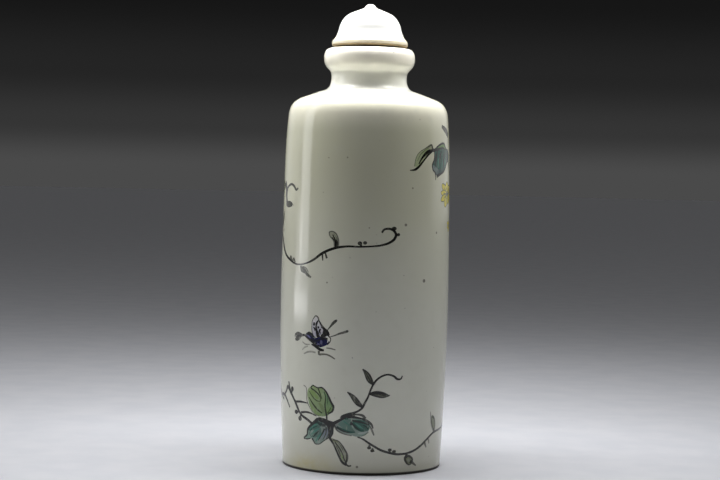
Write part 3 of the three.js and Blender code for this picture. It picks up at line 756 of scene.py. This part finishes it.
def cut_wall(low, high):
    """The unrolled wall as triangles whose edges follow every painted outline: points on a plain
    grid, and the outlines, joined by a constrained Delaunay triangulation."""
    left, right = (math.radians(SEAM + turn) * WALL_RADIUS for turn in (-360, 0))
    columns = np.linspace(left, right, AROUND + 1)
    rows = np.linspace(low, high, round((high - low) / WALL_STEP) + 1)
    grid = np.stack(np.meshgrid(columns, rows), axis=-1).reshape(-1, 2)
    outlines = [item[0] for item in Brush.laid]
    corners = np.array([[left, low], [right, low], [right, high], [left, high]])
    points = [grid]
    edges = []
    first = len(grid)
    for outline in outlines + [corners]:
        index = np.arange(len(outline)) + first
        edges.append(np.stack([index, np.roll(index, -1)], axis=1))
        points.append(outline)
        first += len(outline)
    points = [Vector(point) for point in np.vstack(points)]
    result = delaunay_2d_cdt(points, np.vstack(edges).tolist(), [], 0, SAME_POINT, False)
    return np.array([tuple(v) for v in result[0]]), np.array(result[2])


def enamel_at_corners(points, triangles):
    """The enamel at each triangle's corners, as (red, green, blue, cover): every outline in turn is
    laid over what is under it, with the usual rule for a part-covering coat."""
    corner = points[triangles]
    middle = corner.mean(axis=1)
    colour = np.zeros(corner.shape[:2] + (3,))
    cover = np.zeros(corner.shape[:2])
    for outline, tint, end_tint, strength, axis in Brush.laid:
        boxed = (middle >= outline.min(axis=0)) & (middle <= outline.max(axis=0))
        near = np.flatnonzero(boxed.all(axis=1))
        inside = near[winding(middle[near], outline) != 0]
        run = axis[1] - axis[0]
        share = np.clip((corner[inside] - axis[0]) @ run / (run @ run), 0, 1)[..., None]
        new = np.array(tint) * (1 - share) + np.array(end_tint) * share
        under = cover[inside] * (1 - strength)
        total = strength + under
        colour[inside] = (strength * new + under[..., None] * colour[inside]) / total[..., None]
        cover[inside] = total
    return np.concatenate([colour, cover[..., None]], axis=-1)


def rings(profile, angle):
    """A ring of points for each (radius, height) of a profile, one at each angle. Normals, as (along
    the radius, up), are swung round in the same way."""
    height = np.broadcast_to(profile[:, 1:], (len(profile), AROUND))
    return swing(profile[:, :1], height, angle).reshape(-1, 3)


def ring_faces(rows):
    """Quads between neighbouring rows of vertex numbers, closed round each row."""
    here, after = rows, np.roll(rows, -1, axis=1)
    return np.stack([here[:-1], after[:-1], after[1:], here[1:]], axis=-1).reshape(-1, 4)


def fan_faces(row, pole, flipped):
    """Triangles from a row of vertex numbers to one pole."""
    fan = np.stack([row, np.roll(row, -1), np.full(len(row), pole)], axis=1)
    return fan[:, ::-1] if flipped else fan


def new_object(name, data):
    """An object in the scene with that mesh, lamp or camera."""
    made = bpy.data.objects.new(name, data)
    bpy.context.scene.collection.objects.link(made)
    return made


def new_piece(name, vertices, faces, normals, enamel=None):
    """A mesh object in metres, with its normals worked out from the profile, and the enamel, if
    there is any, kept at the corners of its faces."""
    mesh = bpy.data.meshes.new(name)
    mesh.from_pydata((vertices * MM).tolist(), [], faces)
    mesh.shade_smooth()
    mesh.normals_split_custom_set_from_vertices(normals.tolist())
    if enamel is not None:
        mesh.attributes.new("enamel", "FLOAT_COLOR", "CORNER").data.foreach_set("color", enamel.ravel())
    return new_object(name, mesh)


def turned_piece(name, stations, spacing):
    """A solid of revolution: a profile from the axis to the axis, swung round in even steps."""
    profile = run_through(stations, spacing)
    normal = outward(profile)
    angle = np.linspace(-math.pi, math.pi, AROUND, endpoint=False)
    inner = profile[1:-1]
    vertices = np.vstack([rings(inner, angle), [[0, 0, profile[0, 1]], [0, 0, profile[-1, 1]]]])
    normals = np.vstack([rings(normal[1:-1], angle), [[0, 0, -1], [0, 0, 1]]])
    rows = np.arange(len(inner) * AROUND).reshape(-1, AROUND)
    low, high = len(vertices) - 2, len(vertices) - 1
    fans = np.vstack([fan_faces(rows[0], low, True), fan_faces(rows[-1], high, False)])
    return new_piece(name, vertices, ring_faces(rows).tolist() + fans.tolist(), normals)


def painted_bottle():
    """The whole vessel as one closed skin: the foot, the painted wall, the shoulder, neck and lip, and
    the hollow inside. The wall's triangles meet the rings above and below it point for point."""
    wall = run_through(WALL, WALL_STEP)
    flat, triangles = cut_wall(WALL[0][1], WALL[-1][1])
    enamel = enamel_at_corners(flat, triangles)

    # The right edge of the unrolled wall is the left edge again
    left = np.flatnonzero(flat[:, 0] < flat[:, 0].min() + ON_THE_EDGE)
    right = np.flatnonzero(flat[:, 0] > flat[:, 0].max() - ON_THE_EDGE)
    same = np.arange(len(flat))
    same[right[np.argsort(flat[right, 1])]] = left[np.argsort(flat[left, 1])]
    kept = np.flatnonzero(same == np.arange(len(flat)))
    number = np.zeros(len(flat), int)
    number[kept] = np.arange(len(kept))
    triangles = number[same[triangles]]
    flat = flat[kept]
    angle = flat[:, 0] / WALL_RADIUS
    slope = outward(wall)
    columns = (wall[:, 0], slope[:, 0], slope[:, 1])
    radius, lean, rise = (np.interp(flat[:, 1], wall[:, 1], column) for column in columns)
    vertices = [swing(radius, flat[:, 1], angle)]
    normals = [swing(lean, rise, angle)]

    def edge_row(height):
        """The wall's points at that height, in order round the bottle."""
        row = np.flatnonzero(abs(flat[:, 1] - height) < ON_THE_EDGE)
        return row[np.argsort(flat[row, 0])]

    faces = triangles.tolist()
    count = len(flat)
    ring_angle = math.radians(SEAM - 360) + np.linspace(0, 2 * math.pi, AROUND, endpoint=False)
    foot = run_through(FOOT, FOOT_STEP)[::-1]
    top = np.vstack([run_through(SHOULDER_AND_NECK, NECK_STEP), run_through(INSIDE, INSIDE_STEP)[1:]])
    for profile, joined, up in (
        (foot, edge_row(WALL[0][1]), False),
        (top, edge_row(WALL[-1][1]), True),
    ):
        normal = outward(profile) * (1 if up else -1)
        inner = profile[1:-1]
        vertices.append(rings(inner, ring_angle))
        normals.append(rings(normal[1:-1], ring_angle))
        rows = np.vstack([joined, np.arange(len(inner) * AROUND).reshape(-1, AROUND) + count])
        pole = count + len(inner) * AROUND
        vertices.append(np.array([[0, 0, profile[-1, 1]]]))
        normals.append(np.array([[0, 0, 1.0 if up else -1.0]]))
        faces += (ring_faces(rows) if up else ring_faces(rows)[:, ::-1]).tolist()
        faces += fan_faces(rows[-1], pole, not up).tolist()
        count = pole + 1

    corners = sum(len(face) for face in faces)
    bare = np.zeros((corners - 3 * len(triangles), 4))
    enamel = np.vstack([enamel.reshape(-1, 4), bare])
    return new_piece("painted_bottle", np.vstack(vertices), faces, np.vstack(normals), enamel)


class Value:
    """A number on its way through a node tree. Sums written with it add Math nodes."""

    def __init__(self, nodes, socket):
        self.nodes, self.socket = nodes, socket

    def join(self, operation, *numbers):
        """What one Math node makes of the numbers."""
        node = self.nodes.node("ShaderNodeMath", {"operation": operation}, dict(enumerate(numbers)))
        return Value(self.nodes, node.outputs[0])

    def __add__(self, other):
        return self.join("ADD", self, other)

    def __sub__(self, other):
        return self.join("SUBTRACT", self, other)

    def __rsub__(self, other):
        return self.join("SUBTRACT", other, self)

    def __mul__(self, other):
        return self.join("MULTIPLY", self, other)

    __radd__, __rmul__ = __add__, __mul__

    def ramp(self, low, high, start=0.0, end=1.0):
        """A smooth step: start where the value is low, end where it is high."""
        inputs = {"Value": self, "From Min": low, "From Max": high, "To Min": start, "To Max": end}
        node = self.nodes.node("ShaderNodeMapRange", {"interpolation_type": "SMOOTHSTEP"}, inputs)
        return Value(self.nodes, node.outputs["Result"])


class Nodes:
    """The nodes of a material or of the surroundings."""

    def __init__(self, tree):
        self.tree = tree

    def node(self, kind, settings=None, inputs=None):
        """A node of that kind: its settings first, then a value or a link for each socket."""
        node = self.tree.nodes.new(kind)
        for name, value in (settings or {}).items():
            setattr(node, name, value)
        for name, value in (inputs or {}).items():
            self.connect(node.inputs[name], value)
        return node

    def connect(self, socket, value):
        """Links a value to a socket, or writes a plain number or colour into it."""
        if isinstance(value, Value):
            value = value.socket
        if isinstance(value, bpy.types.NodeSocket):
            self.tree.links.new(value, socket)
        else:
            socket.default_value = value

    def vector(self, operation, inputs):
        """One Vector Math node."""
        return self.node("ShaderNodeVectorMath", {"operation": operation}, inputs)

    def axes(self, place):
        """The three coordinates of a place, each as a value of its own."""
        parts = self.node("ShaderNodeSeparateXYZ", {}, {0: place}).outputs
        return [Value(self, parts[axis]) for axis in "XYZ"]


class Finish(Nodes):
    """A material on one shader. Its patterns read Object coordinates, in millimetres."""

    def __init__(self, name, **constants):
        self.material = bpy.data.materials.new(name)
        self.material.use_nodes = True
        super().__init__(self.material.node_tree)
        self.shader = self.tree.nodes["Principled BSDF"]
        for socket, value in constants.items():
            self.shader.inputs[socket.replace("_", " ")].default_value = value
        where = self.node("ShaderNodeTexCoord").outputs["Object"]
        self.place = self.vector("SCALE", {0: where, "Scale": 1 / MM}).outputs[0]
        self.x, self.y, self.z = self.axes(self.place)

    def feed(self, **sockets):
        """Links what varies over the surface to the shader."""
        for name, value in sockets.items():
            self.connect(self.shader.inputs[name.replace("_", " ")], value)

    def pattern_place(self, sizes, shift):
        """The place in a pattern: each coordinate divided by its size, then moved by shift."""
        inputs = {0: self.place, 1: tuple(1 / size for size in sizes), 2: (shift,) * 3}
        return self.vector("MULTIPLY_ADD", inputs).outputs[0]

    def noise(self, size, detail=2.0, stretch=(1, 1, 1), shift=0.0):
        """Cloudy noise with features of about that size in millimetres."""
        place = self.pattern_place([size * s for s in stretch], shift)
        inputs = {"Vector": place, "Scale": 1.0, "Detail": detail}
        return Value(self, self.node("ShaderNodeTexNoise", {}, inputs).outputs[0])

    def cells(self, size, shift=0.0):
        """Distance to the nearest of scattered points, as a share of their spacing, and a random
        number for each point."""
        place = self.pattern_place((size,) * 3, shift)
        node = self.node("ShaderNodeTexVoronoi", {}, {"Vector": place, "Scale": 1.0})
        chance = self.node("ShaderNodeSeparateColor", {}, {0: node.outputs["Color"]}).outputs[0]
        return Value(self, node.outputs["Distance"]), Value(self, chance)

    def distance(self, centre, stretch):
        """Distance from a point, in millimetres, with each axis divided by its stretch."""
        scale = tuple(1 / s for s in stretch)
        place = self.vector("MULTIPLY", {0: self.place, 1: scale}).outputs[0]
        centre = tuple(c * s for c, s in zip(centre, scale))
        return Value(self, self.vector("DISTANCE", {0: place, 1: centre}).outputs["Value"])

    def mix(self, share, first, second):
        """One colour passing into another as share goes from 0 to 1."""
        inputs = {0: share}
        for socket, colour in ((6, first), (7, second)):
            inputs[socket] = colour if isinstance(colour, bpy.types.NodeSocket) else (*colour, 1.0)
        return self.node("ShaderNodeMix", {"data_type": "RGBA"}, inputs).outputs[2]

    def bump(self, height, depth):
        """Relief that deep, in millimetres, from a height between 0 and 1."""
        inputs = {"Height": height, "Distance": depth * MM, "Strength": 1.0}
        return self.node("ShaderNodeBump", {}, inputs).outputs[0]


STAIN_PLACE = (-9.5, -11.5, 0.6)        # the middle of the yellow stain, on the foot


def painted_glaze():
    """Pale grey-green glaze, warmer and darker with height and with cloudy noise: the warm tone is the
    glaze's own, the darkening high on the wall is painted shade under the shoulder. It passes into
    other tones at the foot,
    shoulder, neck and lip: darker at the foot, and lighter and creamier from the shoulder up, partly
    the glaze's own cream and partly painted light where the top light falls. Over it lie mottling, a
    darker tone and a yellow stain over the foot, faint flecks, the enamel that the painting left at the
    corners, and the bare foot edge, dark brown and deepened almost to black as painted contact shadow."""
    f = Finish("painted_glaze", Roughness=0.1, IOR=1.5)
    # Warmer and darker up the wall: the warm tone is the glaze's own, the darkening is painted shade on
    # the wall under the shoulder
    warmth_and_shade = (f.z + f.noise(14) * 16).ramp(30, 66)
    glaze = f.mix(warmth_and_shade, (0.660, 0.662, 0.575), (0.575, 0.570, 0.425))
    # Darker down to the foot; from the shoulder up lighter and creamier, partly the glaze's own cream
    # and partly painted light where the top light falls
    for start, end, tone in [
        (10, 1, (0.565, 0.560, 0.470)),         # down to the foot
        (59.5, 64, (0.830, 0.805, 0.645)),      # up to the shoulder
        (65.5, 68, (0.830, 0.825, 0.740)),      # up to the neck
        (70.8, 73.2, (0.900, 0.860, 0.745)),    # up to the lip
    ]:
        glaze = f.mix(f.z.ramp(start, end), glaze, tone)
    glaze = f.mix(f.noise(2.6, 3, shift=5).ramp(0.45, 0.8) * 0.25, glaze, (0.580, 0.580, 0.480))

    # A darker tone over the lowest few millimetres of the foot
    darker_foot_tone = f.z.ramp(2.6, 0.5) * 0.5
    glaze = f.mix(darker_foot_tone, glaze, (0.440, 0.435, 0.330))
    stain = f.distance(STAIN_PLACE, (1.1, 1.0, 0.5)).ramp(8.0, 0.5)
    stain = stain * f.noise(2.5, 3, shift=9).ramp(0.25, 0.7)
    glaze = f.mix(stain * 0.7, glaze, (0.500, 0.440, 0.200))

    away, chance = f.cells(2.4)
    fleck = away.ramp(0.075, 0.03) * chance.ramp(0.62, 0.7)
    glaze = f.mix(fleck * 0.35, glaze, (0.150, 0.140, 0.100))

    paint = f.node("ShaderNodeAttribute", {"attribute_name": "enamel"})
    cover = Value(f, paint.outputs["Alpha"])
    brushed = cover * f.noise(0.55, 3, stretch=(1, 1, 2), shift=3).ramp(0.2, 0.5, 0.8, 1.06)
    colour = f.mix(brushed, glaze, paint.outputs["Color"])

    # The bare foot edge: dark brown, deepened almost to black as painted contact shadow
    bare = f.z.ramp(0.58, 0.36)
    colour = f.mix(bare, colour, (0.022, 0.017, 0.011))
    wavy = f.noise(7) * 0.8 + f.noise(1.3, shift=2) * 0.2
    f.feed(
        Base_Color=colour,
        Roughness=0.085 + f.noise(5, shift=7) * 0.04 + cover * 0.06 + bare * 0.6,
        Normal=f.bump(wavy, 0.02),
    )
    return f.material


def cap_glaze():
    """White glaze with a cloudy tone. Below a height made uneven by noise it thins to cream, and a
    little lower it passes into a brown line along the edge. A few faint flecks lie over it."""
    f = Finish("cap_glaze", Roughness=0.12, IOR=1.5)
    glaze = f.mix(f.noise(6, 3).ramp(0.35, 0.65), (0.800, 0.800, 0.765), (0.840, 0.830, 0.790))
    thin = (f.z + f.noise(2.2) * 0.5).ramp(78.4, 76.6)
    glaze = f.mix(thin * 0.95, glaze, (0.810, 0.735, 0.545))
    edge = (f.z + f.noise(1.5, shift=4) * 0.2).ramp(75.95, 75.6)
    glaze = f.mix(edge, glaze, (0.270, 0.200, 0.095))
    away, chance = f.cells(2.2, shift=3)
    glaze = f.mix(away.ramp(0.07, 0.03) * chance.ramp(0.7, 0.8) * 0.4, glaze, (0.200, 0.170, 0.110))
    f.feed(
        Base_Color=glaze,
        Roughness=0.1 + f.noise(4) * 0.05 + edge * 0.5,
        Normal=f.bump(f.noise(3.5), 0.015),
    )
    return f.material


def cork_bark():
    """Dry brown cork: cloudy tone, dark pores, and a rough cut surface."""
    f = Finish("cork_bark", Roughness=0.9)
    away, chance = f.cells(0.7)
    pore = away.ramp(0.35, 0.15) * chance.ramp(0.4, 0.6)
    tone = f.mix(f.noise(1.2, 4).ramp(0.3, 0.7), (0.130, 0.065, 0.028), (0.230, 0.130, 0.060))
    f.feed(
        Base_Color=f.mix(pore, tone, (0.040, 0.020, 0.010)),
        Roughness=0.8 + f.noise(0.8) * 0.2,
        Normal=f.bump(f.noise(0.4, 3) - pore * 0.6, 0.1),
    )
    return f.material


def floor_paper():
    """Pale matt card with a faint cloudy tone."""
    f = Finish("floor_paper", Roughness=0.8)
    f.feed(Base_Color=f.mix(f.noise(9, 4).ramp(0.3, 0.7), (0.560, 0.570, 0.610), (0.600, 0.605, 0.640)))
    return f.material


def finish_piece(piece, material, node):
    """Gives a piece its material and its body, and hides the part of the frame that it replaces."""
    piece.data.materials.append(material)
    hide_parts(node)
    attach(piece, "root")


# The pieces
paint_the_wall()
finish_piece(painted_bottle(), painted_glaze(), "bottle")
finish_piece(turned_piece("domed_cap", CAP, CAP_STEP), cap_glaze(), "stopper_cap")
finish_piece(turned_piece("tapered_cork", CORK, CORK_STEP), cork_bark(), "stopper_cork")

# The camera stands in front of the bottle, a little above its middle, and leans slightly
PHOTO_WIDTH = 720
FOCAL_LENGTH = 1895     # in pixels of the photo
CAMERA_DISTANCE = 342.5
CAMERA_HEIGHT = 53.2
CAMERA_TILT = 2.12      # degrees down
CAMERA_LEAN = 1.2       # degrees anticlockwise
CAMERA_PAN = 0.173      # degrees to the left

camera_data = bpy.data.cameras.new("camera")
camera = new_object("camera", camera_data)
camera_data.lens = camera_data.sensor_width * FOCAL_LENGTH / PHOTO_WIDTH
camera_data.clip_start = 0.01
camera_data.clip_end = 20
camera.matrix_world = (
    Matrix.Translation((0, -CAMERA_DISTANCE * MM, CAMERA_HEIGHT * MM))
    @ Matrix.Rotation(math.radians(CAMERA_PAN), 4, "Z")
    @ Matrix.Rotation(math.radians(90 - CAMERA_TILT), 4, "X")
    @ Matrix.Rotation(math.radians(CAMERA_LEAN), 4, "Z")
)
bpy.context.scene.camera = camera

# The floor and the lamps, in metres. Each lamp: its name, place, target, width, height and watts
FLOOR_REACH = 4.0
FLOOR_SIDES = 64
FLOOR_GAP = 0.00002     # between the floor and the foot
LAMPS = [
    ("top_light", (0, -0.0025, 0.125), (0, -0.0025, 0), 0.11, 0.031, 0.197),
    ("floor_light", (0, 0.10, 0.16), (0, 0.10, 0), 0.22, 0.10, 0.12),
    ("left_strip", (-0.60, 0.03, 0.30), (0, 0, 0.30), 0.18, 0.58, 1.04),
    ("left_low_strip", (-0.585, 0.135, 0.022), (0, 0, 0.022), 0.125, 0.044, 0.027),
    ("left_block", (-0.33, 0.035, 0.006), (0, 0, 0.006), 0.16, 0.012, 0.028),
    ("front_light", (0, -0.9, 0.45), (0, 0, 0.03), 0.9, 0.7, 0.62),
]

# The dark surroundings: how far up the sky, and how bright there
SKY = [(0.0, 0.0685), (0.022, 0.035), (0.05, 0.018), (0.09, 0.008), (0.2, 0.008), (0.35, 0.07)]
SIDE_GLOW = 0.76


def softbox(name, place, target, width, height, watts):
    """A soft rectangular lamp at a place, turned to a target. The camera doesn't see it."""
    lamp = bpy.data.lights.new(name, "AREA")
    lamp.shape = "RECTANGLE"
    lamp.size, lamp.size_y, lamp.energy = width, height, watts
    box = new_object(name, lamp)
    place = Vector(place)
    aim = (Vector(target) - place).to_track_quat("-Z", "Y").to_matrix().to_4x4()
    box.matrix_world = Matrix.Translation(place) @ aim
    box.visible_camera = False


def plain_floor():
    """A flat round floor just under the foot: points at even angles on a circle."""
    turn = np.linspace(0, 2 * math.pi, FLOOR_SIDES, endpoint=False)
    rim = np.stack([np.cos(turn), np.sin(turn), np.zeros(FLOOR_SIDES)], axis=1) * FLOOR_REACH
    mesh = bpy.data.meshes.new("floor")
    mesh.from_pydata((rim - [0, 0, FLOOR_GAP]).tolist(), [], [list(range(FLOOR_SIDES))])
    floor = new_object("floor", mesh)
    floor.data.materials.append(floor_paper())


def dark_studio():
    """Surroundings whose grey passes from step to step of SKY, and a soft glow low on both sides,
    behind the bottle but outside the picture: it fades out forwards, straight back and upwards."""
    world = bpy.data.worlds.new("studio")
    world.use_nodes = True
    bpy.context.scene.world = world
    nodes = Nodes(world.node_tree)
    _, back, up = nodes.axes(nodes.node("ShaderNodeTexCoord").outputs["Generated"])
    light = back.ramp(0.1, 0.3) * back.ramp(0.96, 0.82) * up.ramp(0.55, 0.2) * SIDE_GLOW + SKY[0][1]
    for (low, grey), (high, next_grey) in zip(SKY, SKY[1:]):
        light = light + up.ramp(low, high, 0, next_grey - grey)
    background = world.node_tree.nodes["Background"].inputs
    nodes.connect(background["Color"], (1, 1, 1, 1))
    nodes.connect(background["Strength"], light)


plain_floor()
dark_studio()
for lamp in LAMPS:
    softbox(*lamp)
bpy.context.scene.view_settings.view_transform = "Standard"
